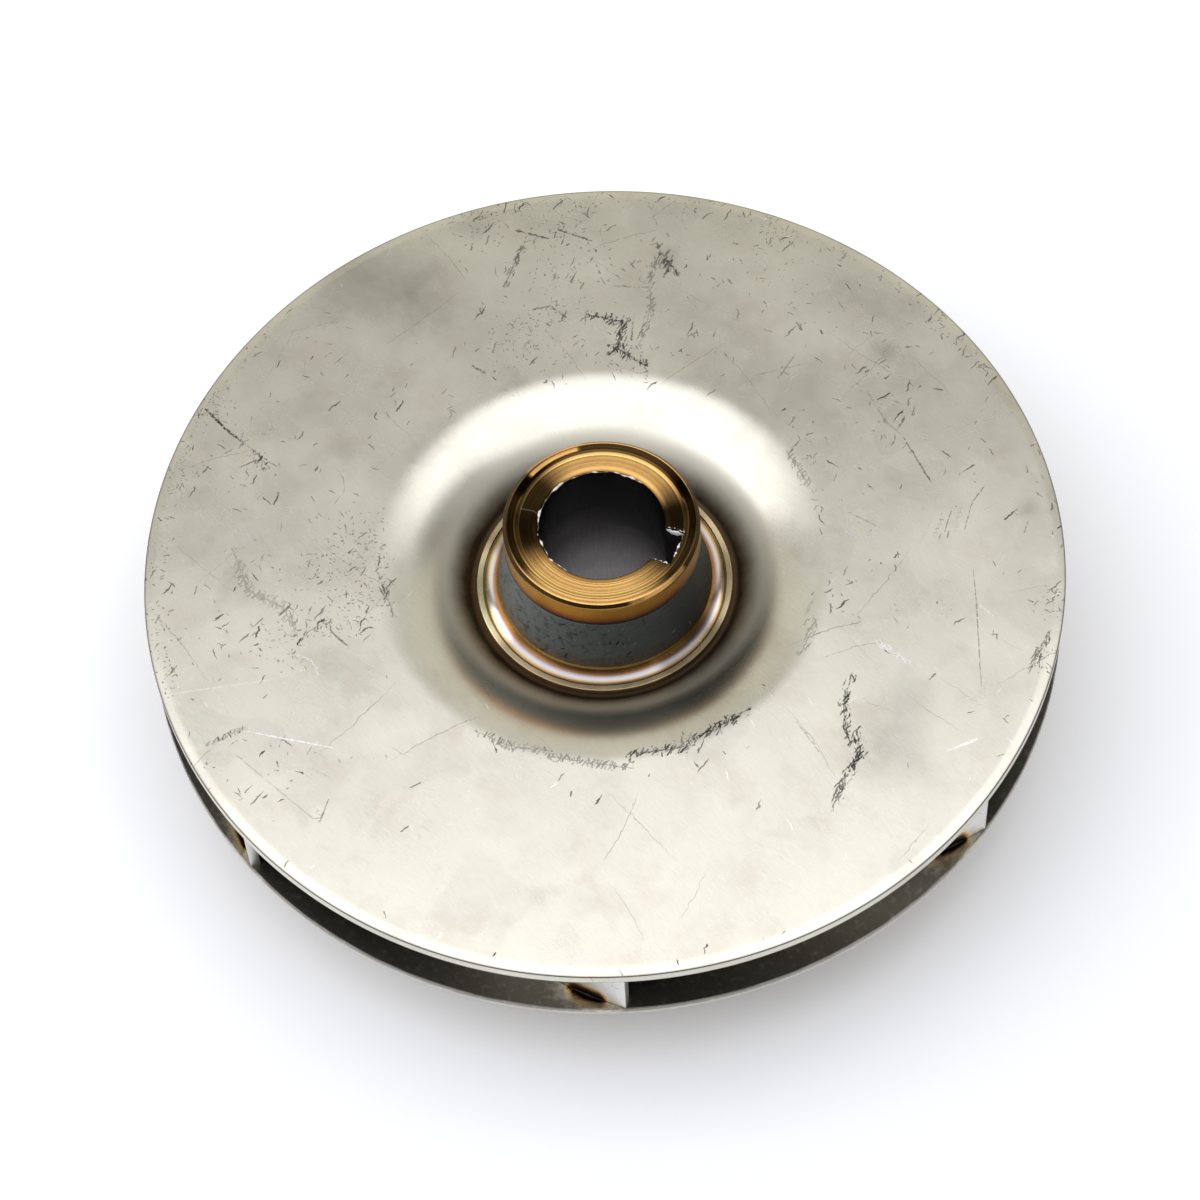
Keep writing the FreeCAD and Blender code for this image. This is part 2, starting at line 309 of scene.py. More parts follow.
# --- back plate ---
def build_back_plate():
    """Dished disc: its sheet outline turned round the shaft, then drawn down a little.

    The dish wall is two arcs that meet where it is steepest, a tight one at the floor and
    a wide one up to the flat. The lower face is the upper one moved out by the sheet. The
    draw-down grows evenly from the dish to the rim, times a ripple of
    0.5 + 0.25 cos(blade count * azimuth + 1.1) + 0.25 of smooth noise.
    """
    run, depth = DISH_RADIUS - DISH_FLOOR_RADIUS, PLATE_TOP - DISH_FLOOR
    wide = (run ** 2 + depth ** 2) / (2 * depth) - DISH_FOOT
    foot = DISH_FLOOR_RADIUS + DISH_FOOT * depth / run
    shoulder = DISH_RADIUS - wide * depth / run
    shift = SHEET * depth / run
    hole = SPIGOT + CLEARANCE
    under = PLATE_TOP - SHEET
    outline = rounded_outline([
        (hole, DISH_FLOOR, 0.0, 0.5 * MM),
        (foot, DISH_FLOOR, DISH_FOOT, 0.2 * MM),
        (shoulder, PLATE_TOP, wide, 0.42 * MM),
        (RIM - RIM_BEVEL[0], PLATE_TOP, 6.0 * MM, 0.13 * MM),
        (RIM, PLATE_TOP - RIM_BEVEL[1], 0.16 * MM, 0.13 * MM),
        (RIM, under, 0.18 * MM, 2.5 * MM),
        (shoulder + shift, under, wide - SHEET, 1.0 * MM),
        (foot + shift, DISH_FLOOR - SHEET, DISH_FOOT + SHEET, 1.0 * MM),
        (hole, DISH_FLOOR - SHEET, 0.0, 1.0 * MM),
    ], 1.0 * MM)
    azimuths = full_circle(PLATE_STEPS)
    points = turned(outline, azimuths)
    x, y = points[..., 0] / MM, points[..., 1] / MM
    reach = np.clip((outline[:, :1] - DISH_RADIUS) / (RIM - DISH_RADIUS), 0, 1)
    between = 0.25 * np.cos(BLADE_COUNT * azimuths + 1.1)
    ripple = 0.5 + between + 0.25 * soft_noise(x / 14, y / 14, 5)
    points[..., 2] -= DRAW_DOWN * reach * np.clip(ripple, 0, 1)
    piece = grid_piece("dished_plate", points, layers=plate_layers(outline, x, y))
    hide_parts("back_plate")
    return piece


def plate_layers(outline, x, y):
    """Wear of the back plate, and painted shade along its rim, at its vertices, from its outline
    and their plan in mm.

    Marks and scuffs lie on the upper face alone. Scuffs thicken toward the back, in their
    patches, and in a ring 68.2 mm from the shaft, and end where the dish begins. Both outer
    corners of the rim are painted shade: dark lines that fade over 0.2 mm.
    """
    place, strength = nearest_mark(x, y)
    upper = np.gradient(outline[:, 0])[:, None] > 0
    flat = np.clip((np.hypot(x, y) - 31.5) / 3.5, 0, 1)
    behind = np.clip(0.55 + y / 90, 0, 1)
    everywhere = (0.004 + 0.26 * behind ** 1.2) * flat
    at_rim = np.exp(-((outline[:, :1] / MM - 68.2) / 1.3) ** 2) * 0.5 * (0.3 + 0.7 * behind)
    scuffed = everywhere + patches(x, y, SCUFFED) * np.sqrt(flat) + at_rim
    # Painted shade: dark lines along the rim's two outer corners.
    edges = sum(np.exp(-(np.hypot(outline[:, 0] - RIM, outline[:, 1] - z) / (0.2 * MM)) ** 2)
                for z in (PLATE_TOP - RIM_BEVEL[1], PLATE_TOP - SHEET))
    return {"mark_place": place, "mark_strength": strength * upper, "scuffed": scuffed * upper,
            "flatness": flat, "edge": edges[:, None] + 0 * x,
            "smudged": patches(x, y, SMUDGED)}


# --- front shroud ---
def shroud_face(r, side):
    """Height of the shroud's cone at radius r; side is 0 for its upper face, 1 for its lower."""
    bend = NECK_BEND + SHROUD_SHEET * (1 - side)
    corner = NECK_LENGTH + bend * math.tan((math.pi / 2 - SHROUD_SLOPE) / 2)
    return corner + (r - NECK - SHROUD_SHEET * side) * math.tan(SHROUD_SLOPE)


def blade_arc():
    """Radius of a blade's arc, and the distance from the shaft to its centre.

    The arc crosses the inlet and tip radii at the two blade angles.
    """
    inlet, outlet = (math.cos(angle) for angle in BLADE_ANGLES)
    radius = ((BLADE_TIP ** 2 - BLADE_INLET ** 2)
              / (2 * (BLADE_TIP * outlet - BLADE_INLET * inlet)))
    distance = math.sqrt(BLADE_TIP ** 2 + radius ** 2 - 2 * BLADE_TIP * radius * outlet)
    return radius, distance


def blade_turn(r):
    """Angle about the centre of the blade's arc at which the arc has the radius r."""
    radius, distance = blade_arc()
    return math.acos((distance ** 2 + radius ** 2 - r ** 2) / (2 * distance * radius))


def blade_line(turn, inset, tip_azimuth):
    """Plan view (x, y) of a blade at angles along its arc, inset from its outer face."""
    radius, distance = blade_arc()
    end = blade_turn(BLADE_TIP)
    lead = math.atan2(-radius * math.sin(end), distance - radius * math.cos(end))
    x = distance - (radius - inset) * np.cos(turn)
    y = -(radius - inset) * np.sin(turn)
    swing = math.radians(tip_azimuth) - lead
    return x * math.cos(swing) - y * math.sin(swing), x * math.sin(swing) + y * math.cos(swing)


TIPS = [FIRST_TIP + 360 * number / BLADE_COUNT for number in range(BLADE_COUNT)]
TACK_RADII = (66.3 * MM, 68.5 * MM)       # weld tack at the foot of a blade, from and to
SEAM_START = 62.0 * MM                    # where the thin seam inward of the tack begins
CLOSING = (0.5, 0.12, 0.03)               # share of a blade's sheet taken off at each step
                                          # of the small round at its two ends


def burnt(x, y):
    """Heat of the weld tacks: 1 along each tack, falling off as exp(-(distance / reach)^2).

    The reach is 0.95 mm at the tack's middle and less than half of that at its ends. A
    faint straw halo, 0.11 times exp(-(distance / 2.4 mm)^2), lies round it.
    """
    heat = np.zeros(x.shape)
    for tip in TIPS:
        turns = np.array([blade_turn(r) for r in TACK_RADII])
        ends = np.stack(blade_line(turns, 0.0, tip), -1)
        run = ends[1] - ends[0]
        along = (x - ends[0, 0]) * run[0] + (y - ends[0, 1]) * run[1]
        share = np.clip(along / (run @ run), 0, 1)
        distance = np.hypot(x - ends[0, 0] - share * run[0], y - ends[0, 1] - share * run[1])
        reach = (0.4 + 0.55 * np.sin(np.pi * share)) * MM
        halo = 0.11 * np.exp(-(distance / (2.4 * MM)) ** 2)
        heat = np.maximum(heat, np.maximum(np.exp(-(distance / reach) ** 2), halo))
    return heat


def build_front_shroud():
    """Drawn disc: neck, bend and cone of one sheet outline, turned round the shaft."""
    outline = rounded_outline([
        (NECK, FOOT, 0.35 * MM, 1.0 * MM),
        (NECK + SHROUD_SHEET, FOOT, 0.35 * MM, 1.0 * MM),
        (NECK + SHROUD_SHEET, shroud_face(NECK + SHROUD_SHEET, 1), NECK_BEND, 1.0 * MM),
        (RIM, shroud_face(RIM, 1), 0.15 * MM, 0.15 * MM),
        (RIM, shroud_face(RIM, 0), 0.15 * MM, 0.15 * MM),
        (RIM - 1.5 * MM, shroud_face(RIM - 1.5 * MM, 0), 0.0, 0.6 * MM),
        (NECK, shroud_face(NECK, 0), NECK_BEND + SHROUD_SHEET, 1.0 * MM),
    ], 0.6 * MM)
    points = turned(outline, full_circle(SHROUD_STEPS))
    x, y = points[..., 0], points[..., 1]
    upper = points[..., 2] > shroud_face(np.hypot(x, y), 0.6)
    # The edge layer is partly nicks and partly painted shade: a dark line along the rim's upper
    # corner, broken up by noise.
    corner = np.hypot(outline[:, 0] - RIM, outline[:, 1] - shroud_face(RIM, 0))
    nicks_and_shade = np.clip(0.55 + 0.5 * soft_noise(x / (1.6 * MM), y / (1.6 * MM), 17), 0, 1)
    # The inside layer marks the upper face, between the discs, which the material darkens as
    # painted shade.
    layers = {"burnt": burnt(x, y) * np.where(upper, 1.0, 0.35),
              "inside": np.where(upper, 1.0, 0.0),
              "edge": np.exp(-(corner / (0.2 * MM)) ** 2)[:, None] * nicks_and_shade}
    piece = grid_piece("drawn_shroud", points, layers=layers)
    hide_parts("front_shroud")
    return piece


# --- blades and their weld tacks ---
def build_blade(number, tip):
    """Bent strip: its rectangular section carried along the blade's arc between the discs.

    Heights run from the shroud's cone to the plate, and the section closes to a line at
    both ends over a small round.
    """
    start, end = blade_turn(BLADE_INLET), blade_turn(BLADE_TIP)
    radius = blade_arc()[0]
    step = 0.1 * MM / radius
    body = np.linspace(start + step, end - step, 56)
    turn = np.concatenate([[start, start, start + step / 3], body, [end - step / 3, end, end]])
    inset = np.array([*CLOSING, *[0.0] * len(body), *CLOSING[::-1]])
    side = np.linspace(0, 1, 12, endpoint=False)
    edge = np.linspace(0, 1, 4, endpoint=False)
    across = np.concatenate([0 * side, edge, 1 + 0 * side, 1 - edge])
    height = np.concatenate([side, 1 + 0 * edge, 1 - side, 0 * edge])
    depth = inset[:, None] + (1 - 2 * inset[:, None]) * across
    x, y = blade_line(turn[:, None], depth * BLADE_SHEET, tip)
    foot = shroud_face(np.hypot(x, y), 0)
    z = foot + (PLATE_TOP - SHEET - foot) * height
    points = np.stack([x, y, z], -1)
    rise = np.exp(-((z - foot) / (2.2 * MM)) ** 2)
    piece = grid_piece("swept_blade_%d" % number, points, wrap_rows=False,
                       layers={"burnt": burnt(x, y) * rise})
    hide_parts("blade_%d" % number)
    return piece


def build_tack(number, tip):
    """Weld tack in the corner at a blade's foot: a bead with a thin seam running out of it.

    The bead follows the foot line. Its round section has the radius 0.06 mm plus 0.34 mm
    times exp(-((r - middle) / 0.65 mm)^2) at radius r from the shaft, roughened by noise.
    """
    reach = np.linspace(SEAM_START, BLADE_TIP, 90)
    around = full_circle(14)
    turn = np.array([blade_turn(r) for r in reach])
    x, y = blade_line(turn, 0.0, tip)
    z = shroud_face(np.hypot(x, y), 0)
    middle = sum(TACK_RADII) / 2
    lumps = soft_noise(reach[:, None] / (0.3 * MM) + number, np.cos(around) * 2, number)
    ends = np.sin(np.pi * np.linspace(0, 1, len(reach))) ** 0.3
    girth = (0.06 + 0.34 * np.exp(-((reach - middle) / (0.65 * MM)) ** 2)) * MM * ends
    girth = girth[:, None] * (1 + 0.15 * lumps)
    out = np.stack([x, y], -1) / np.hypot(x, y)[:, None]
    wide, tall = girth * np.cos(around), 0.8 * girth * np.sin(around)
    points = np.stack([x[:, None] + out[:, :1] * wide, y[:, None] + out[:, 1:] * wide,
                       z[:, None] + tall], -1)
    return grid_piece("weld_tack_%d" % number, points, wrap_rows=False, crease=80)


# --- hub ---
COVE_LOW = DISH_FLOOR + 0.55 * MM
COVE_TOP = COVE_LOW + 1.25 * MM
COVE_SIDE = 18.46 * MM                    # outer edge of the cove
COVE_RUN = 2.36 * MM                      # from there in to the foot of the skirt
LAND = DISH_FLOOR + 0.95 * MM             # top of the flange
LAND_SIDE = 18.7 * MM                     # its inner edge, with a groove down to the cove
SKIRT_FOOT = DISH_FLOOR + 2.25 * MM
SKIRT_TOP = HUB_TOP - 5.0 * MM
WAIST = 15.32 * MM                        # slimmest radius of the skirt's hollow curve
COLLAR = 14.85 * MM
CHAMFER = 0.45 * MM
STEP = HUB_TOP - 0.3 * MM                 # lower ring of the end face, next to the bore
STEP_WIDTH = (1.6 * MM, 2.45 * MM)        # slope down to it, in from the collar's side


def hub_outline():
    """Turned outline of the hub, from the bore at its lower end outwards and up."""
    rise = COVE_TOP - COVE_LOW
    cove = (COVE_RUN ** 2 + rise ** 2) / (2 * rise)
    sweep = 2 * math.degrees(math.atan(rise / COVE_RUN))
    groove = COVE_LOW - 0.15 * MM
    return rounded_outline([
        (BORE + 0.8 * MM, hub_low.z, 0.1 * MM, 0.25 * MM),
        (SPIGOT - 0.8 * MM, hub_low.z, 0.15 * MM),
        (SPIGOT, hub_low.z + 0.8 * MM, 0.15 * MM, 3.0 * MM),
        (SPIGOT, DISH_FLOOR),
        (FLANGE, DISH_FLOOR, 0.08 * MM),
        (FLANGE, LAND, 0.14 * MM, 0.1 * MM),
        (LAND_SIDE, LAND, 0.06 * MM, 0.06 * MM),
        (LAND_SIDE - 0.06 * MM, groove, 0.04 * MM, 0.06 * MM),
        (COVE_SIDE + 0.02 * MM, groove, 0.04 * MM, 0.06 * MM),
        *arc((COVE_SIDE, COVE_LOW + cove), cove, 270, 270 - sweep, 22),
        (16.55 * MM, COVE_TOP, 0.06 * MM, 0.06 * MM),
        (SPIGOT, SKIRT_FOOT, 0.4 * MM, 0.25 * MM),
        (WAIST, (SKIRT_FOOT + SKIRT_TOP) / 2, 40 * MM, 0.25 * MM),
        (COLLAR + 0.06 * MM, SKIRT_TOP - 0.1 * MM, 0.1 * MM, 0.06 * MM),
        (COLLAR, SKIRT_TOP + 0.1 * MM, 0.1 * MM, 0.2 * MM),
        (COLLAR, HUB_TOP - CHAMFER, 0.12 * MM, 0.1 * MM),
        (COLLAR - CHAMFER, HUB_TOP, 0.1 * MM, 0.06 * MM),
        (COLLAR - STEP_WIDTH[0], HUB_TOP, 0.12 * MM, 0.05 * MM),
        (COLLAR - STEP_WIDTH[1], STEP, 0.25 * MM, 0.06 * MM),
        (BORE + 0.9 * MM, STEP, 0.15 * MM, 0.08 * MM),
        (BORE, STEP - 0.35 * MM, 0.06 * MM, 1.5 * MM),
        (BORE, hub_low.z + 0.8 * MM, 0.1 * MM, 0.12 * MM),
    ], 0.15 * MM)


def key_reach(azimuths):
    """Distance from the shaft to the side of the bore or of the keyway, at each azimuth.

    Inside the keyway it is the nearer of its floor and its wall: floor / cos or half
    width / sin of the angle from the keyway's middle.
    """
    angle = np.abs((azimuths - KEY_AZIMUTH + np.pi) % (2 * np.pi) - np.pi)
    floor = KEY_FLOOR / np.maximum(np.cos(angle), 0.1)
    wall = KEY_HALF / np.maximum(np.sin(angle), 1e-6)
    return np.maximum(BORE, np.where(angle < math.pi / 2, np.minimum(floor, wall), BORE))


def build_hub():
    """Hub: its outline turned round the shaft, with no point nearer than the keyway's side.

    Turning marks lower the end faces in rings, by 0.007 mm times 1 + sin(2 pi r / 0.52 mm
    + 1.5 sin(2 pi r / 2.1 mm)).
    """
    outline = hub_outline()
    r = outline[:, 0]
    end = (outline[:, 1] > STEP - 0.02 * MM) & (r < COLLAR - 0.5 * MM) & (r > BORE + 0.95 * MM)
    rings = np.sin(2 * np.pi * r / (0.52 * MM) + 1.5 * np.sin(2 * np.pi * r / (2.1 * MM)))
    outline[:, 1] -= np.where(end, 0.007 * MM * (1 + rings), 0)
    corners = [math.asin(KEY_HALF / BORE), math.atan(KEY_HALF / KEY_FLOOR)]
    extra = [KEY_AZIMUTH + sign * corner for corner in corners for sign in (-1, 1)]
    azimuths = np.unique(np.concatenate([full_circle(HUB_STEPS), np.array(extra) % (2 * np.pi)]))
    points = turned(outline, azimuths)
    reach = np.maximum(np.hypot(points[..., 0], points[..., 1]), key_reach(azimuths))
    points[..., 0], points[..., 1] = reach * np.cos(azimuths), reach * np.sin(azimuths)
    r, z = outline[:, :1] + 0 * azimuths, points[..., 2]
    # The second layer is painted light and shade: highlights, reflections and shade by azimuth, a
    # factor on the heat colour.
    layers = {"zone": heat_zone(r, z, reach), "tarnish": tarnish(r, z, azimuths)}
    piece = grid_piece("turned_hub", points, crease=35, layers=layers)
    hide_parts("hub")
    return piece


def heat_zone(r, z, reach):
    """Place of each vertex on the hub's scale of heat colours, from 0 at its end to 1 inside.

    The end and collar lie at 0.05 to 0.3, the skirt at 0.35 to 0.575, the cove at 0.62 to
    0.88, the groove and flange at 0.9 to 0.95, and the bore and the lower end above 0.96.
    """
    near = 0.05 * MM
    over_cove = COVE_TOP + 0.02 * MM
    climb = np.clip((z - SKIRT_TOP) / (HUB_TOP - SKIRT_TOP), 0, 1)
    across = np.clip((r - COVE_SIDE + COVE_RUN) / COVE_RUN, 0, 1)
    skirt = (z < SKIRT_TOP - near) & (z > over_cove) & (r > 14 * MM)
    zones = [
        # Painted shade and light: in the bore the zone climbs with depth, from black at the mouth
        # to light far down.
        ((reach < BORE + 3.2 * MM) & (z < STEP - 0.3 * MM),
         0.965 + 0.035 * np.clip((STEP - z) / (29 * MM), 0, 1)),
        (z < DISH_FLOOR, 1.0),
        (z > HUB_TOP - CHAMFER - near, 0.05),
        (z >= SKIRT_TOP - near, 0.3 - 0.2 * climb),
        (skirt & (z < SKIRT_FOOT + 0.1 * MM), 0.575),
        (skirt, 0.35 + 0.2 * (SKIRT_TOP - z) / (SKIRT_TOP - SKIRT_FOOT)),
        ((r > COVE_SIDE - 0.06 * MM) & (r < LAND_SIDE + near) & (z < LAND - 0.03 * MM), 0.905),
        ((z <= over_cove) & (z > DISH_FLOOR) & (r < 18.5 * MM) & (r > 16 * MM),
         0.62 + 0.26 * across),
        (r > LAND_SIDE + near, 0.95),
    ]
    return np.select(*zip(*zones), 0.0)


def eased(value, low, high):
    """The value's way from low to high, held at both ends, as 3 w^2 - 2 w^3."""
    way = np.clip((value - low) / (high - low), 0, 1)
    return way * way * (3 - 2 * way)


def arc_band(azimuths, start, end, soft):
    """1 between two azimuths in degrees, easing to 0 over the soft degrees beyond them."""
    middle, half = math.radians((start + end) / 2), math.radians((end - start) / 2)
    off = np.abs((azimuths - middle + np.pi) % (2 * np.pi) - np.pi)
    return 1 - eased(off, half, half + math.radians(soft))


# Fine rings on the end faces, partly the tone of the turning marks and partly painted highlights
# and shade along the edges of the slope, near 1.6 and 2.45 mm in: distance in from the collar's
# side in mm, half width in mm and change of brightness.
TOOL_RINGS = [(1.0, 0.07, -0.3), (1.25, 0.05, 0.25), (1.58, 0.07, -0.75), (1.78, 0.10, 0.9),
              (2.05, 0.06, -0.5), (2.45, 0.09, 0.8), (2.62, 0.05, -0.5), (3.1, 0.05, -0.22),
              (3.7, 0.05, -0.3), (4.0, 0.05, 0.2), (4.25, 0.05, -0.3), (4.5, 0.05, -0.25)]


def front_and_back(azimuths, shift, low, high):
    """1 at the hub's front and back and 0 at its two sides: the eased |sin(azimuth + shift)|.

    Smooth noise of 0.06 is added to the sine before it is eased from low to high.
    """
    wavy = 0.06 * soft_noise(np.cos(azimuths) * 3, np.sin(azimuths) * 3, 41)
    return eased(np.abs(np.sin(azimuths + shift)) + wavy, low, high)


def end_painted_light_and_shade(r, azimuths):
    """Painted light and shade on the end faces: the outer land, the slope inside it and the lower
    ring.

    All three swing from painted shade at the sides to painted highlights at the front and back.
    Behind, the land is wider and stays in painted shade but for one painted glint. The lip is a
    painted highlight, the thin line inside the chamfer.
    """
    swing = front_and_back(azimuths, 0.26, 0.42, 0.92)
    behind = arc_band(azimuths, 20, 150, 12)
    slope = (0.1 + 0.8 * swing) * (1 + 0.35 * arc_band(azimuths, -140, -40, 20))
    far = 0.05 + 0.9 * front_and_back(azimuths, 0.2, 0.6, 0.97)
    glint = arc_band(azimuths, 103, 137, 2) * (r > COLLAR - 1.5 * MM) * (r < COLLAR - 0.8 * MM)
    amount = np.where(r > COLLAR - 2.5 * MM, slope, 0.05 + 0.9 * swing)
    amount = np.where(r > COLLAR - (1.58 + 0.45 * behind) * MM,
                      far * (1 - 0.9 * behind) + 1.1 * glint, amount)
    for off, width, change in TOOL_RINGS:
        amount = amount * (1 + change * np.exp(-((r - COLLAR + off * MM) / (width * MM)) ** 2))
    lip = np.abs(r - COLLAR + 0.55 * MM) < 0.09 * MM
    return np.where(lip, 0.25 + 1.5 * swing * (1 - 0.4 * behind), amount)


def tarnish(r, z, azimuths):
    """Painted light and shade on the hub: a factor on its heat colour, painted shade below 1 and
    painted highlights above it.

    The skirt goes from painted shade at the right to painted light at the left, as 0.9 - 0.8
    cos(azimuth), held above 0.22. The chamfer is dull but for two short arcs of painted
    reflection. The cove has two bright stretches of painted reflection and a dull stretch of
    painted shade, and the collar carries a painted highlight at the front left.
    """
    arcs = arc_band(azimuths, 101, 136, 3) + arc_band(azimuths, -74, -38, 4)
    chamfer = 0.1 + 0.25 * arc_band(azimuths, 30, 97, 10) + 1.0 * arcs
    cove = (1 + 1.6 * arc_band(azimuths, 165, 204, 12) + 1.0 * arc_band(azimuths, -18, 25, 12)
            - 0.5 * arc_band(azimuths, -60, -34, 9))
    below_skirt = z < COVE_TOP + 0.1 * MM
    zones = [
        (below_skirt & (r > 16 * MM) & (z > DISH_FLOOR), cove),
        (below_skirt, 1.0),
        ((z > HUB_TOP - 0.42 * MM) & (r > COLLAR - 0.47 * MM), chamfer),
        ((z > STEP - 0.4 * MM) & (r > BORE - 0.01 * MM), end_painted_light_and_shade(r, azimuths)),
        (z > SKIRT_TOP, 0.72 + 0.55 * arc_band(azimuths, 215, 245, 30)),
    ]
    return np.select(*zip(*zones), np.maximum(0.9 - 0.8 * np.cos(azimuths), 0.22))


BURR_GIRTH = 0.16 * MM
CHIP_START, CHIP_LENGTH = 9.3 * MM, 2.9 * MM             # from the shaft outwards
CHIP_HEIGHT = 0.33 * MM                                  # half of it


def build_burr(name, path, seed):
    """Ragged burr: a fine closed tube along a path of points.

    Its radius is the girth times 0.06 plus the part of smooth noise above zero, and it
    leans to one side and the other by noise.
    """
    around = full_circle(7)
    along = np.linspace(0, 1, len(path))
    lump = np.clip(soft_noise(along * 90, along * 0 + 1, seed), 0, 1.4)
    taper = np.clip(np.minimum(along, 1 - along) * 12, 0, 1)
    radius = (BURR_GIRTH * (0.06 + lump) * taper)[:, None]
    ahead = np.gradient(path, axis=0)
    ahead /= np.linalg.norm(ahead, axis=1)[:, None]
    up = np.array([0.0, 0.0, 1.0]) - ahead * ahead[:, 2:]
    up /= np.linalg.norm(up, axis=1)[:, None]
    side = np.cross(ahead, up)
    lean = 0.6 * BURR_GIRTH * soft_noise(along * 60, along * 0 + 3, seed + 1)[:, None]
    wide = side[:, None] * (radius * np.cos(around))[..., None]
    tall = up[:, None] * (radius * np.sin(around))[..., None] * 0.8
    ring = (path + side * lean)[:, None] + (wide + tall)
    return grid_piece(name, ring, wrap_rows=False, crease=30)


def build_burrs():
    """Burrs left by the cutter: over half of the bore's mouth and round the keyway's outline."""
    mouth = np.radians(np.linspace(40, 240, 420))
    level = STEP - 0.33 * MM
    reach = BORE + 0.01 * MM
    ring = np.stack([reach * np.cos(mouth), reach * np.sin(mouth), 0 * mouth + level], -1)
    burrs = [build_burr("bore_burr", ring, 11)]
    start = BORE * math.cos(math.asin(KEY_HALF / BORE))
    share = np.linspace(0, 1, 60, endpoint=False)[:, None]
    corners = np.array([[start, -KEY_HALF], [KEY_FLOOR, -KEY_HALF], [KEY_FLOOR, KEY_HALF],
                        [start, KEY_HALF]])
    plan = np.concatenate([a * (1 - share) + b * share for a, b in zip(corners, corners[1:])])
    turn = np.array([[math.cos(KEY_AZIMUTH), math.sin(KEY_AZIMUTH)],
                     [-math.sin(KEY_AZIMUTH), math.cos(KEY_AZIMUTH)]])
    outline = np.concatenate([plan @ turn, np.full((len(plan), 1), STEP - 0.04 * MM)], 1)
    burrs.append(build_burr("keyway_burr", outline, 23))
    return burrs


def build_torn_chip():
    """Torn chip on the keyway's far wall: a thin lens with a ragged lower edge.

    Its half height goes as sin(pi s)^0.7 along its length, roughened by noise, and its
    thickness follows the same curve.
    """
    along = np.linspace(0, 1, 44)
    around = full_circle(16)
    swell = (np.sin(np.pi * along) ** 0.7)[:, None]
    ragged = 1 + 0.3 * soft_noise(along[:, None] * 16, np.sin(around) * 2, 31)
    reach = CHIP_START + CHIP_LENGTH * along[:, None] + 0 * around
    height = STEP - 0.55 * MM + CHIP_HEIGHT * swell * np.sin(around) * ragged
    off = KEY_HALF - 0.02 * MM - 0.12 * MM * swell * (1 + np.cos(around))
    off = off - 0.45 * (STEP - 0.12 * MM - height)
    c, s = math.cos(KEY_AZIMUTH), math.sin(KEY_AZIMUTH)
    points = np.stack([reach * c - off * s, reach * s + off * c, height], -1)
    return grid_piece("keyway_chip", points, wrap_rows=False, crease=50)


# --- shader maths ---
class Value:
    """One output of a node. Arithmetic on it, from either side, adds Math nodes."""

    def __init__(self, shader, socket):
        self.shader = shader
        self.socket = socket

    def math(self, operation, *values, clamp=False):
        inputs = dict(enumerate(values))
        settings = {"operation": operation, "use_clamp": clamp}
        return self.shader.node("ShaderNodeMath", settings, inputs)["Value"]

    def __add__(self, other):
        return self.math("ADD", self, other)

    def __sub__(self, other):
        return self.math("SUBTRACT", self, other)

    def __rsub__(self, other):
        return self.math("SUBTRACT", other, self)

    def __mul__(self, other):
        return self.math("MULTIPLY", self, other)

    def __truediv__(self, other):
        return self.math("DIVIDE", self, other)

    def __pow__(self, other):
        return self.math("POWER", self, other)

    def __lt__(self, other):
        return self.math("LESS_THAN", self, other)

    def __gt__(self, other):
        return self.math("GREATER_THAN", self, other)

    def __abs__(self):
        return self.math("ABSOLUTE", self)

    def least(self, other):
        return self.math("MINIMUM", self, other)

    def most(self, other):
        return self.math("MAXIMUM", self, other)

    def held(self):
        """The value kept between 0 and 1."""
        return self.math("ADD", self, 0.0, clamp=True)

    def direction(self, other):
        """Angle about the origin of the point (other, self)."""
        return self.math("ARCTAN2", self, other)

    __radd__ = __add__
    __rmul__ = __mul__


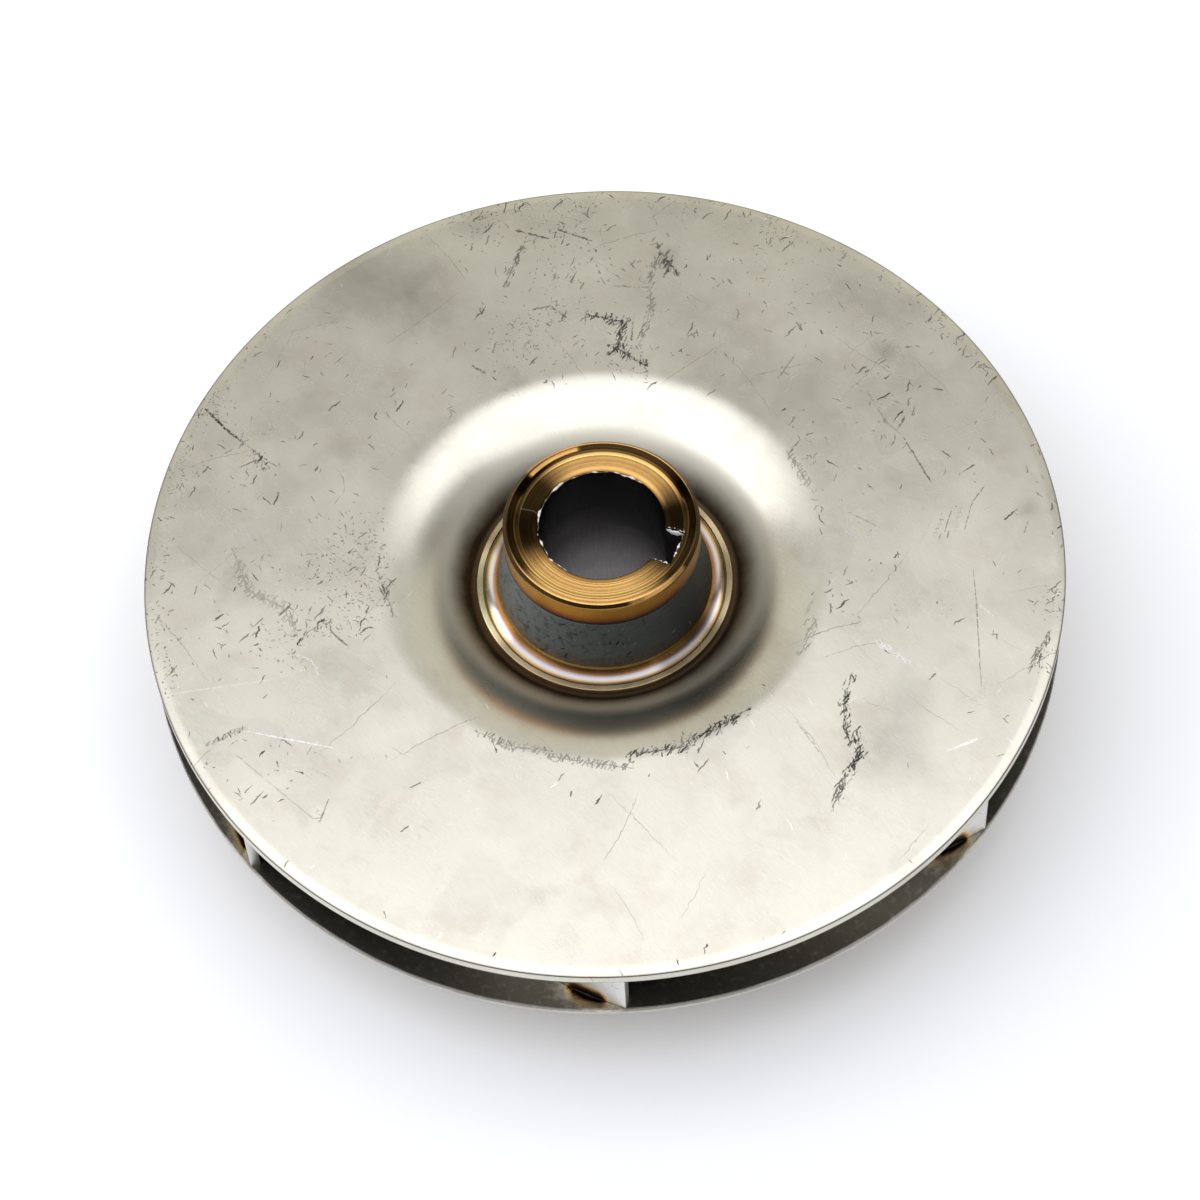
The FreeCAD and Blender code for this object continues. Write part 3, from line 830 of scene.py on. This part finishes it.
class Shader:
    """The node tree of one material or world; one method makes any node."""

    def __init__(self, owner):
        owner.use_nodes = True
        self.owner = owner
        self.tree = owner.node_tree
        self.tree.nodes.clear()

    def node(self, kind, settings=None, inputs=None):
        """A node with its settings made first, then its inputs set or linked."""
        made = self.tree.nodes.new(kind)
        for key, value in (settings or {}).items():
            if key == "stops":
                ramp = made.color_ramp
                while len(ramp.elements) < len(value):
                    ramp.elements.new(1.0)
                for element, (position, colour) in zip(ramp.elements, value):
                    element.position = position
                    element.color = (*colour, 1.0)
            else:
                setattr(made, key, value)
        by_name = {s.name: s for s in reversed(made.inputs)}
        by_name.update({s.identifier: s for s in made.inputs})
        for key, value in (inputs or {}).items():
            socket = made.inputs[key] if isinstance(key, int) else by_name[key]
            if isinstance(value, Value):
                self.tree.links.new(value.socket, socket)
            else:
                socket.default_value = value
        outputs = {s.name: Value(self, s) for s in reversed(made.outputs)}
        outputs.update({s.identifier: Value(self, s) for s in made.outputs})
        return outputs

    def place(self):
        """Object coordinates in millimetres."""
        raw = self.node("ShaderNodeTexCoord")["Object"]
        return self.vector("SCALE", raw, Scale=1 / MM)

    def vector(self, operation, *values, **named):
        inputs = {**dict(enumerate(values)), **named}
        found = self.node("ShaderNodeVectorMath", {"operation": operation}, inputs)
        return found["Value"] if operation in ("LENGTH", "DOT_PRODUCT") else found["Vector"]

    def turned(self, vector, angle):
        """The vector turned about Z."""
        return self.node("ShaderNodeVectorRotate", {"rotation_type": "Z_AXIS"},
                         {"Vector": vector, "Angle": angle})["Vector"]

    def parts(self, vector):
        """The three numbers of a vector."""
        split = self.node("ShaderNodeSeparateXYZ", None, {"Vector": vector})
        return split["X"], split["Y"], split["Z"]

    def joined(self, x, y, z=0.0):
        """A vector of three numbers."""
        return self.node("ShaderNodeCombineXYZ", None, {"X": x, "Y": y, "Z": z})["Vector"]

    def from_shaft(self, place):
        """Distance of a place from the shaft."""
        return self.vector("LENGTH", self.vector("MULTIPLY", place, (1, 1, 0)))

    def shares(self, colour):
        """The red, green and blue of a colour."""
        split = self.node("ShaderNodeSeparateColor", None, {"Color": colour})
        return split["Red"], split["Green"], split["Blue"]

    def noise(self, vector, scale, detail, roughness, output="Fac"):
        """Soft noise, most of it between 0.3 and 0.7; the scale is in lumps per mm."""
        inputs = {"Vector": vector, "Scale": scale, "Detail": detail, "Roughness": roughness}
        return self.node("ShaderNodeTexNoise", None, inputs)[output]

    def ramp(self, value, stops):
        """Colour at a value, between stops of (position, colour)."""
        return self.node("ShaderNodeValToRGB", {"stops": stops}, {"Fac": value})["Color"]

    def mix(self, factor, low, high):
        """Colour that goes from low to high as the factor goes from 0 to 1."""
        colours = {"A_Color": low, "B_Color": high}
        colours = {key: c if isinstance(c, Value) else (*c, 1.0) for key, c in colours.items()}
        inputs = {"Factor_Float": factor, **colours}
        return self.node("ShaderNodeMix", {"data_type": "RGBA"}, inputs)["Result_Color"]

    def tinted(self, colour, factor):
        """Colour times a number."""
        return self.vector("SCALE", colour, Scale=factor)

    def span(self, value, low, high, to_low=0.0, to_high=1.0):
        """The value's way from low to high, held at both ends, taken from to_low to to_high."""
        inputs = {"Value": value, "From Min": low, "From Max": high, "To Min": to_low,
                  "To Max": to_high}
        return self.node("ShaderNodeMapRange", None, inputs)["Result"]

    def layer(self, name, output="Fac"):
        """A number or, as the output "Vector", three numbers kept at the vertices."""
        return self.node("ShaderNodeAttribute", {"attribute_name": name})[output]

    def bump(self, height, distance, strength):
        inputs = {"Height": height, "Distance": distance, "Strength": strength}
        return self.node("ShaderNodeBump", None, inputs)["Normal"]

    def metal(self, **sockets):
        """Surface of the material: a Principled shader with these sockets."""
        made = self.node("ShaderNodeBsdfPrincipled", None,
                         {key.replace("_", " "): value for key, value in sockets.items()})
        self.node("ShaderNodeOutputMaterial", None, {"Surface": made["BSDF"]})
        return self.owner


def new_shader(name):
    """Empty shader of a new material."""
    return Shader(bpy.data.materials.new(name))


def strokes(shader, place, cell, length, width, share, lean=None, stretch=1.0, swing=0.25):
    """Short pointed strokes, one in some of the cells of a Voronoi pattern.

    With a lean the cells are drawn out that way and the strokes follow it but for a small
    swing, otherwise each has a direction of its own. A stroke's half width is its width
    times 1 - (way along / reach)^2. A cell has one where its colour's green is under the
    share. The red gives the stroke its direction and its bow, and the blue its reach, a
    fifth to the whole of half the length, and its darkness.
    """
    if lean is not None:
        place = shader.turned(place, -lean)
    cells = shader.vector("MULTIPLY", place, (1 / stretch, 1.0, 1.0))
    found = shader.node("ShaderNodeTexVoronoi", {"voronoi_dimensions": "2D"},
                        {"Vector": cells, "Scale": 1 / cell})
    red, green, blue = shader.shares(found["Color"])
    local = shader.vector("SUBTRACT", cells, found["Position"])
    local = shader.vector("MULTIPLY", local, (stretch, 1.0, 0.0))
    angle = (red - 0.5) * (2 * math.pi if lean is None else 2 * swing)
    local = shader.turned(local, angle)
    along = shader.vector("DOT_PRODUCT", local, (1, 0, 0))
    across = shader.vector("DOT_PRODUCT", local, (0, 1, 0))
    reach = (blue * 0.8 + 0.2) * (length / 2)
    bowed = across + along * along * (red - 0.5) * (0.8 / length)
    pointed = (1 - (along / reach) ** 2.0) * width - abs(bowed)
    return (pointed / (width * 0.32)).held() * (green < share) * (blue * 0.6 + 0.5)


# --- materials ---
STEEL = (0.70, 0.68, 0.583)
# The bright mark colour is partly bare steel and partly a painted glint in place of the
# scratches' relief.
DARK_MARK, BRIGHT_MARK = (0.03, 0.028, 0.024), (0.97, 0.97, 0.95)
FINE = 0.3                                # marks of a smaller half width in mm are lines
GRAIN = math.radians(-49)                 # rolling direction, from the x axis
SCUFF_LEAN = math.radians(52)             # direction of most of the scuffs

# Heat colours as (position, colour): across the dish from the hub outwards, under a weld from
# cold to the black scale, and along the zones of the hub. Two parts of the hub's scale are
# painted shade and light: the near-black stop at 0.61 is a painted shadow line where the skirt's
# foot meets the cove, and the bore's stops from 0.965 are painted shade at its mouth lightening
# to painted light deeper down.
DISH_HEAT = [
    (0.0, (0.045, 0.025, 0.01)), (0.16, (0.065, 0.04, 0.021)), (0.3, (0.085, 0.064, 0.042)),
    (0.42, (0.27, 0.24, 0.19)), (0.52, (0.45, 0.42, 0.35)), (0.62, (0.62, 0.60, 0.51)),
    (0.73, STEEL),
]
WELD_HEAT = [
    (0.0, (0.88, 0.85, 0.76)), (0.12, (0.84, 0.74, 0.53)), (0.26, (0.66, 0.46, 0.22)),
    (0.42, (0.3, 0.16, 0.06)), (0.55, (0.05, 0.032, 0.02)), (1.0, (0.012, 0.01, 0.01)),
]
HUB_HEAT = [
    (0.0, (0.76, 0.485, 0.22)), (0.03, (0.76, 0.485, 0.22)), (0.05, (0.68, 0.395, 0.13)),
    (0.1, (0.5, 0.28, 0.07)), (0.12, (0.46, 0.235, 0.04)), (0.21, (0.45, 0.2, 0.026)),
    (0.262, (0.26, 0.09, 0.02)), (0.285, (0.04, 0.015, 0.03)), (0.298, (0.035, 0.03, 0.04)),
    (0.31, (0.4, 0.38, 0.28)), (0.325, (0.09, 0.1, 0.1)), (0.345, (0.1, 0.115, 0.12)),
    (0.49, (0.1, 0.112, 0.11)), (0.55, (0.12, 0.085, 0.065)), (0.57, (0.36, 0.24, 0.09)),
    # The near-black stop at 0.61, between the skirt's foot and the cove, is a painted shadow
    # line.
    (0.61, (0.012, 0.009, 0.006)), (0.67, (0.25, 0.12, 0.03)), (0.725, (0.27, 0.16, 0.1)),
    (0.75, (0.33, 0.3, 0.33)), (0.785, (0.44, 0.44, 0.44)), (0.82, (0.44, 0.34, 0.22)),
    (0.85, (0.44, 0.28, 0.12)), (0.89, (0.08, 0.05, 0.025)), (0.93, (0.40, 0.31, 0.17)),
    # From 0.965 on, the bore: painted shade at its mouth, lightening to painted light deeper
    # down.
    (0.955, (0.44, 0.35, 0.21)), (0.965, (0.006, 0.005, 0.004)),
    (0.977, (0.016, 0.014, 0.013)), (0.986, (0.13, 0.12, 0.117)), (1.0, (0.62, 0.58, 0.57)),
]


def rolled(shader, place):
    """Fine parallel grain of rolled sheet: noise drawn out along the rolling direction."""
    drawn = shader.vector("MULTIPLY", shader.turned(place, -GRAIN), (0.5, 9.0, 1.0))
    return shader.noise(drawn, 1.0, 3.0, 0.6)


def plate_marks(shader, place):
    """Dark and bright amounts of the plate's wear: placed marks and scattered strokes. The bright
    amounts are partly bare steel and partly painted glints.

    A fine placed mark is a broken line, pointed at its ends. A broader one is a band of strokes
    in two directions with a spine along its middle. The scattered strokes follow the plate's
    scuffed layer and crowd together where a slow noise is high.
    """
    wavy = shader.noise(place, 0.8, 3.0, 0.6, "Color")
    warped = shader.vector("ADD", place, shader.vector("SCALE", wavy, Scale=1.1))

    def moved(x, y):
        return shader.vector("ADD", warped, (x, y, 0))

    share, off, width = shader.parts(shader.layer("mark_place", "Vector"))
    strength = shader.layer("mark_strength")
    uneven = shader.noise(place, 0.9, 3.0, 0.7)
    reach = width * shader.span(uneven, 0.3, 0.7, 0.35, 1.35)
    away = abs(off + (shader.noise(place, 1.5, 3.0, 0.7) - 0.5) * (width * 1.4 + 0.12))
    ends = shader.span(share.least(1 - share), 0.0, 0.1)
    line = ((reach * ends - away) / 0.05).held()
    broken = shader.span(shader.noise(place, 2.4, 2.0, 0.7), 0.36, 0.5)
    narrow = line * broken * (width < FINE)
    band = shader.span(away, width * 0.6, width * 1.3 + 0.2, 1.0, 0.0) * ends.most(0.4)
    hatch = strokes(shader, moved(9, 4), 0.42, 4.2, 0.17, band, SCUFF_LEAN, 5.0)
    cross = strokes(shader, moved(2, 17), 0.5, 2.8, 0.15, band * 0.7, SCUFF_LEAN + 0.8, 4.0)
    spine = ((width * 0.22 - away) / 0.07).held() * broken
    broad = hatch.most(cross).most(spine) * (width > FINE) * (band > 0.15)
    flat = shader.layer("flatness")
    placed = narrow.most(broad) * shader.span(flat, 0.0, 0.3)
    dark = placed * strength.held()
    bright = placed * (strength * -1).held()

    busy = shader.layer("scuffed").held()
    crowd = shader.span(shader.noise(place, 0.22, 2.0, 0.6), 0.5, 0.64) * busy
    ticks = strokes(shader, moved(0, 0), 1.5, 2.4, 0.10, busy * 0.07 + crowd * 0.3)
    nicks = strokes(shader, moved(13, 5), 0.95, 4.8, 0.15, crowd * 0.56 + busy * 0.03,
                    SCUFF_LEAN, 3.6, 0.5)
    cuts = strokes(shader, moved(21, 9), 0.8, 2.8, 0.11, crowd * 0.45, SCUFF_LEAN + 1.3, 3.2, 0.6)
    crumbs = strokes(shader, moved(3, 27), 0.62, 0.8, 0.11,
                     shader.span(shader.layer("scuffed"), 0.45, 1.3, 0.0, 0.5))
    hairs = strokes(shader, moved(31, 8), 5.0, 26, 0.07, 0.18, SCUFF_LEAN - 0.25, 5.0, 0.5)
    falls = strokes(shader, moved(43, 1), 5.5, 24, 0.06, 0.2, GRAIN, 4.5, 0.3)
    dark = dark.most(ticks * 0.8).most(nicks * 0.85).most(cuts * 0.8).most(crumbs * 0.7)
    dark = dark.most(hairs * flat * 0.55).most(falls * flat * 0.5)

    # Bright strokes: partly bare steel, partly painted glints.
    gleams = strokes(shader, moved(7, 41), 2.9, 2.8, 0.09, busy * 0.16 + 0.03)
    glints = strokes(shader, moved(5, 2), 0.9, 4.0, 0.08, crowd * 0.2, 0.35, 4.0, 0.4)
    bright = bright.most(gleams * 0.9).most(glints * 0.85)
    return dark.held(), bright.held()


def plate_material():
    """Pickled sheet: rolling grain, clouds, stains, worn marks and heat tint in the dish."""
    shader = new_shader("plate_steel")
    place = shader.place()
    radius = shader.from_shaft(place)
    grain = rolled(shader, place)
    clouds = shader.noise(place, 0.06, 4.0, 0.55)
    blotches = shader.noise(shader.vector("ADD", place, (40, 11, 7)), 0.13, 3.0, 0.6)
    speckle = shader.noise(place, 2.2, 3.0, 0.65)
    pools = shader.noise(shader.vector("ADD", place, (3, 52, 0)), 0.05, 3.0, 0.55)

    colour = shader.mix(shader.span(blotches, 0.48, 0.7, 0.0, 0.5), STEEL, (0.61, 0.56, 0.465))
    shade = 1 + (grain - 0.5) * 0.3 + (clouds - 0.5) * 0.3 + (speckle - 0.5) * 0.1
    shade = shade - shader.span(pools, 0.52, 0.545, 0.0, 0.05)
    shade = shade - shader.span(pools, 0.36, 0.34, 0.0, 0.04)
    cloudy = shader.span(shader.layer("smudged") + (blotches - 0.5) * 0.8, 0.15, 1.0, 0.0, 0.22)
    colour = shader.tinted(colour, shade * (1 - cloudy))

    dark, bright = plate_marks(shader, place)
    colour = shader.mix(dark * 0.95, colour, DARK_MARK)
    colour = shader.mix(bright * 0.85, colour, BRIGHT_MARK)

    x, y = shader.parts(place)[:2]
    # The heat ring is the hub weld's own tint, but its shift with place, narrowing it toward the
    # front, back and right, is painted light: it keeps the dish's reflections bright there.
    scorch = radius + (shader.noise(place, 0.35, 2.0, 0.6) - 0.5) + abs(y) * 0.02 + x * 0.01
    burnt_tone = shader.ramp(shader.span(scorch, 19.0, 26.0), DISH_HEAT)
    scorched = shader.span(radius, 24.3, 26.3, 1.0, 0.0)
    colour = shader.mix(scorched, colour, burnt_tone)
    # Painted shade along the rim's two outer corners, from the edge layer.
    colour = shader.mix(shader.layer("edge").held() * 0.95, colour, (0.06, 0.05, 0.04))

    rough = 0.28 + (clouds - 0.5) * 0.1 + dark * 0.3 - bright * 0.08 + scorched * 0.22
    height = grain * 0.25 + speckle * 0.12
    return shader.metal(Base_Color=colour, Metallic=1.0, Roughness=rough,
                        Normal=shader.bump(height, 0.02 * MM, 0.6))


def burn_colours(shader, colour, heat, place):
    """The colour under weld heat: straw, then brown, then black scale."""
    wavy = heat + (shader.noise(place, 0.9, 3.0, 0.6) - 0.5) * 0.22
    tone = shader.ramp(wavy, WELD_HEAT)
    return shader.mix(shader.span(wavy, 0.01, 0.14), colour, tone)


def shroud_material():
    """Pressed sheet as drawn: grain, grey-brown clouds, burns under the weld tacks, and painted
    shade on its upper face and along its rim.
    """
    shader = new_shader("shroud_steel")
    place = shader.place()
    grain = rolled(shader, place)
    clouds = shader.noise(place, 0.09, 4.0, 0.6)
    x, y, z = shader.parts(place)
    ticks = strokes(shader, shader.joined(x + z * 0.9, y + z * 0.5), 2.4, 1.8, 0.06, 0.3)
    colour = shader.mix(shader.span(clouds, 0.35, 0.7), (0.62, 0.60, 0.54), (0.55, 0.50, 0.42))
    colour = shader.tinted(colour, 1 + (grain - 0.5) * 0.2)
    colour = shader.mix(ticks * 0.5, colour, (0.1, 0.09, 0.08))
    # Painted shade: the upper face, inside the channels between the discs, darkened to 0.48 of
    # its colour.
    colour = shader.tinted(colour, 1 - shader.layer("inside") * 0.52)
    heat = shader.layer("burnt")
    colour = burn_colours(shader, colour, heat, place)
    # Partly nicks, partly painted shade: the dark line along the rim's upper corner.
    colour = shader.mix(shader.layer("edge") * 0.8, colour, (0.08, 0.07, 0.055))
    rough = 0.36 + (clouds - 0.5) * 0.2 - heat * 0.12
    height = grain * 0.3 - ticks * 0.4
    return shader.metal(Base_Color=colour, Metallic=1.0, Roughness=rough,
                        Normal=shader.bump(height, 0.02 * MM, 0.6))


def blade_material():
    """Cut strip: pale sheet with light roll lines, dark specks and weld heat at its foot."""
    shader = new_shader("blade_steel")
    place = shader.place()
    lines = shader.noise(shader.vector("MULTIPLY", place, (0.7, 0.7, 7.0)), 1.0, 3.0, 0.6)
    clouds = shader.noise(place, 0.3, 3.0, 0.6)
    z = shader.parts(place)[2]
    radius = shader.from_shaft(place)
    pits = strokes(shader, shader.joined(radius * 2.4, z), 1.6, 1.1, 0.09, 0.2)
    colour = shader.tinted(shader.mix(clouds, (0.78, 0.765, 0.74), (0.68, 0.665, 0.64)),
                           1 + (lines - 0.5) * 0.14)
    colour = shader.mix(pits * 0.6, colour, (0.12, 0.1, 0.09))
    colour = burn_colours(shader, colour, shader.layer("burnt"), place)
    height = lines * 0.3 - pits * 0.4
    return shader.metal(Base_Color=colour, Metallic=1.0, Roughness=0.42 + (clouds - 0.5) * 0.2,
                        Normal=shader.bump(height, 0.02 * MM, 0.6))


def hub_material():
    """Turned steel with heat colours by zone, blue-grey scale on the skirt, tool lines, and
    painted light and shade by azimuth.
    """
    shader = new_shader("hub_steel")
    place = shader.place()
    zone = shader.layer("zone")
    clouds = shader.noise(place, 0.35, 3.0, 0.6)
    colour = shader.ramp(zone, HUB_HEAT)
    on_skirt = (zone > 0.33) * (zone < 0.555)
    in_bore = zone > 0.96
    turned_face = 1 - on_skirt
    x, y, z = shader.parts(place)
    radius = shader.from_shaft(place)
    angle = y.direction(x)
    lathe = shader.joined(radius * 3.5, z * 3.5, clouds * 0.6)
    tool = shader.noise(lathe, 1.0, 4.0, 0.7)
    reamed = shader.noise(shader.joined(angle * 70.0, z * 0.2), 1.0, 2.0, 0.6)
    rolled_out = shader.joined(angle * 16.0, z)
    dents = shader.span(shader.noise(rolled_out, 0.35, 2.0, 0.6), 0.5, 0.7)
    crowded = dents * shader.span(x, 10, -14, 0.2, 0.8)
    pits = strokes(shader, rolled_out, 1.0, 1.9, 0.2, 0.06 + crowded, 0.9, 1.6, 0.8) * on_skirt
    flecks = strokes(shader, rolled_out, 1.5, 1.1, 0.07, 0.16)
    mottles = shader.span(shader.noise(rolled_out, 0.75, 4.0, 0.75), 0.5, 0.66)
    mottles = mottles * shader.span(x, 12, -12, 0.15, 0.75) * on_skirt
    colour = shader.tinted(colour, 1 + (tool - 0.5) * 0.5 * turned_face + (clouds - 0.5) * 0.3
                           + (reamed - 0.5) * in_bore * 1.0)
    # Painted light and shade: the layer brightens and darkens the heat colour by azimuth.
    colour = shader.tinted(colour, shader.layer("tarnish") * (1 - mottles))
    colour = shader.mix(pits * 0.9, colour, (0.008, 0.008, 0.009))
    colour = shader.mix(flecks * 0.55 * (0.35 + 0.65 * on_skirt), colour, (0.5, 0.46, 0.36))
    rough = 0.25 + on_skirt * 0.16 + (clouds - 0.5) * 0.1 - (zone > 0.6) * (zone < 0.9) * 0.06
    height = tool * turned_face * 0.5 - pits * 0.6 + clouds * 0.3
    return shader.metal(Base_Color=colour, Metallic=1.0 - on_skirt * 0.35, Roughness=rough,
                        Anisotropic=0.95, Anisotropic_Rotation=0.25,
                        Normal=shader.bump(height, 0.012 * MM, 0.7))


def patchy_material(name, lumps, edge, low, high, metallic, relief, strength):
    """Rough metal that goes from one colour to another where its noise rises past 0.5.

    The lumps are per mm, and the edge is where the second colour is reached.
    """
    shader = new_shader(name)
    patchy = shader.noise(shader.place(), lumps, 3.0, 0.6)
    colour = shader.mix(shader.span(patchy, 0.5, edge), low, high)
    return shader.metal(Base_Color=colour, Metallic=metallic, Roughness=0.3 + patchy * 0.2,
                        Normal=shader.bump(patchy, relief, strength))


def tack_material():
    """Black weld scale with a brown bloom and a slight gloss."""
    return patchy_material("weld_scale", 1.6, 0.75, (0.012, 0.011, 0.012), (0.11, 0.055, 0.03),
                           metallic=0.4, relief=0.08 * MM, strength=0.5)


def burr_material():
    """Freshly torn steel: bright, with streaks of the golden heat colour."""
    return patchy_material("torn_steel", 2.5, 0.66, (0.95, 0.94, 0.92), (0.72, 0.5, 0.24),
                           metallic=0.35, relief=0.04 * MM, strength=0.6)


def floor_material():
    """Matt pale paper. A little light of its own, only where it is seen, keeps it near white."""
    shader = new_shader("pale_floor")
    path = shader.node("ShaderNodeLightPath")
    seen = path["Is Camera Ray"].most(path["Is Glossy Ray"])
    white = shader.mix(seen, (0.93, 0.93, 0.93), (1.06, 1.075, 1.10))
    paper = shader.node("ShaderNodeBsdfDiffuse", None, {"Color": white})["BSDF"]
    glow = shader.node("ShaderNodeEmission", None, {"Strength": 0.06})["Emission"]
    black = {"Color": (0, 0, 0, 1), "Strength": 0.0}
    none = shader.node("ShaderNodeEmission", None, black)["Emission"]
    lit = shader.node("ShaderNodeMixShader", None, {0: seen, 1: none, 2: glow})["Shader"]
    both = shader.node("ShaderNodeAddShader", None, {0: paper, 1: lit})["Shader"]
    shader.node("ShaderNodeOutputMaterial", None, {"Surface": both})
    return shader.owner


# --- the object ---
def dress(piece, material):
    """Gives the piece its one material."""
    piece.data.materials.clear()
    piece.data.materials.append(material)


def build_object():
    """Every visible piece of the impeller, with its material."""
    dress(build_back_plate(), plate_material())
    dress(build_front_shroud(), shroud_material())
    strip, scale, torn = blade_material(), tack_material(), burr_material()
    for number, tip in enumerate(TIPS, 1):
        dress(build_blade(number, tip), strip)
        dress(build_tack(number, tip), scale)
    dress(build_hub(), hub_material())
    for burr in build_burrs() + [build_torn_chip()]:
        dress(burr, torn)


# --- stage, light and camera ---
FLOOR_HALF = 2.0
# Colours of the room from low in front, over the top and down behind, as (share of the half
# turn, colour). The softbox hides the part in the middle.
WALLS = [
    (0.0, (0.11, 0.11, 0.11)), (0.17, (0.11, 0.11, 0.11)), (0.3, (0.26, 0.26, 0.26)),
    (0.645, (0.42, 0.42, 0.42)), (0.66, (0.05, 0.05, 0.05)), (0.69, (0.05, 0.05, 0.05)),
    (0.712, (0.79, 0.765, 0.68)), (1.0, (0.6, 0.585, 0.53)),
]
PALE_PATCH = Vector((0.716, -0.558, 0.417)).normalized()  # toward the right front, and up
WHITE = (1.0, 1.0, 1.0)


def build_floor():
    """Flat square of paper under the impeller."""
    half = FLOOR_HALF
    mesh = bpy.data.meshes.new("floor")
    mesh.from_pydata([(-half, -half, 0), (half, -half, 0), (half, half, 0), (-half, half, 0)], [],
                     [(0, 1, 2, 3)])
    floor = new_object("floor", mesh)
    mesh.materials.append(floor_material())


def add_softbox(name, place, size, radiance):
    """Rectangular soft light of a plain surface brightness, facing down."""
    light = bpy.data.lights.new(name, "AREA")
    light.shape = "RECTANGLE"
    light.size, light.size_y = size
    light.color = (1.0, 1.0, 1.06)
    light.energy = radiance * math.pi * size[0] * size[1]
    new_object(name, light).location = place


def build_light():
    """One wide softbox overhead in a dim room.

    The room is darkest low in front and just behind the box, and brightest behind, far to
    the left and in one patch at the right front. The camera itself sees it white.
    """
    world = bpy.data.worlds.new("room")
    bpy.context.scene.world = world
    shader = Shader(world)
    looking = shader.node("ShaderNodeTexCoord")["Generated"]
    across, back, up = shader.parts(looking)
    wall = shader.ramp(shader.span(back.direction(up), -math.pi / 2, math.pi / 2), WALLS)
    wall = shader.mix(shader.span(across, -0.5, -0.9, 0.0, 0.6), wall, WHITE)
    facing = shader.vector("DOT_PRODUCT", looking, PALE_PATCH)
    wall = shader.mix(shader.span(facing, 0.955, 0.98), wall, (0.8, 0.79, 0.74))
    wall = shader.mix(shader.node("ShaderNodeLightPath")["Is Camera Ray"], wall, WHITE)
    room = shader.node("ShaderNodeBackground", None, {"Color": wall, "Strength": 1.0})
    shader.node("ShaderNodeOutputWorld", None, {"Surface": room["Background"]})
    add_softbox("overhead", place=(-0.46, -0.05, 1.2), size=(2.36, 1.40), radiance=1.45)


LENS, SENSOR = 114.9, 36
CAMERA_PLACE = (0, -0.30579, 0.52465)
CAMERA_DOWN = 58.927                      # how far it looks down, in degrees
CAMERA_SWING, CAMERA_ROLL = 0.172, -3.667


def build_camera():
    """Long lens, looking down at the impeller from the front."""
    data = bpy.data.cameras.new("camera")
    data.lens, data.sensor_width = LENS, SENSOR
    camera = new_object("camera", data)
    camera.matrix_world = (Matrix.Translation(CAMERA_PLACE)
                           @ Matrix.Rotation(math.radians(CAMERA_SWING), 4, "Z")
                           @ Matrix.Rotation(math.radians(90 - CAMERA_DOWN), 4, "X")
                           @ Matrix.Rotation(math.radians(CAMERA_ROLL), 4, "Z"))
    bpy.context.scene.camera = camera


build_object()
build_floor()
build_light()
build_camera()
bpy.context.scene.view_settings.view_transform = "Standard"
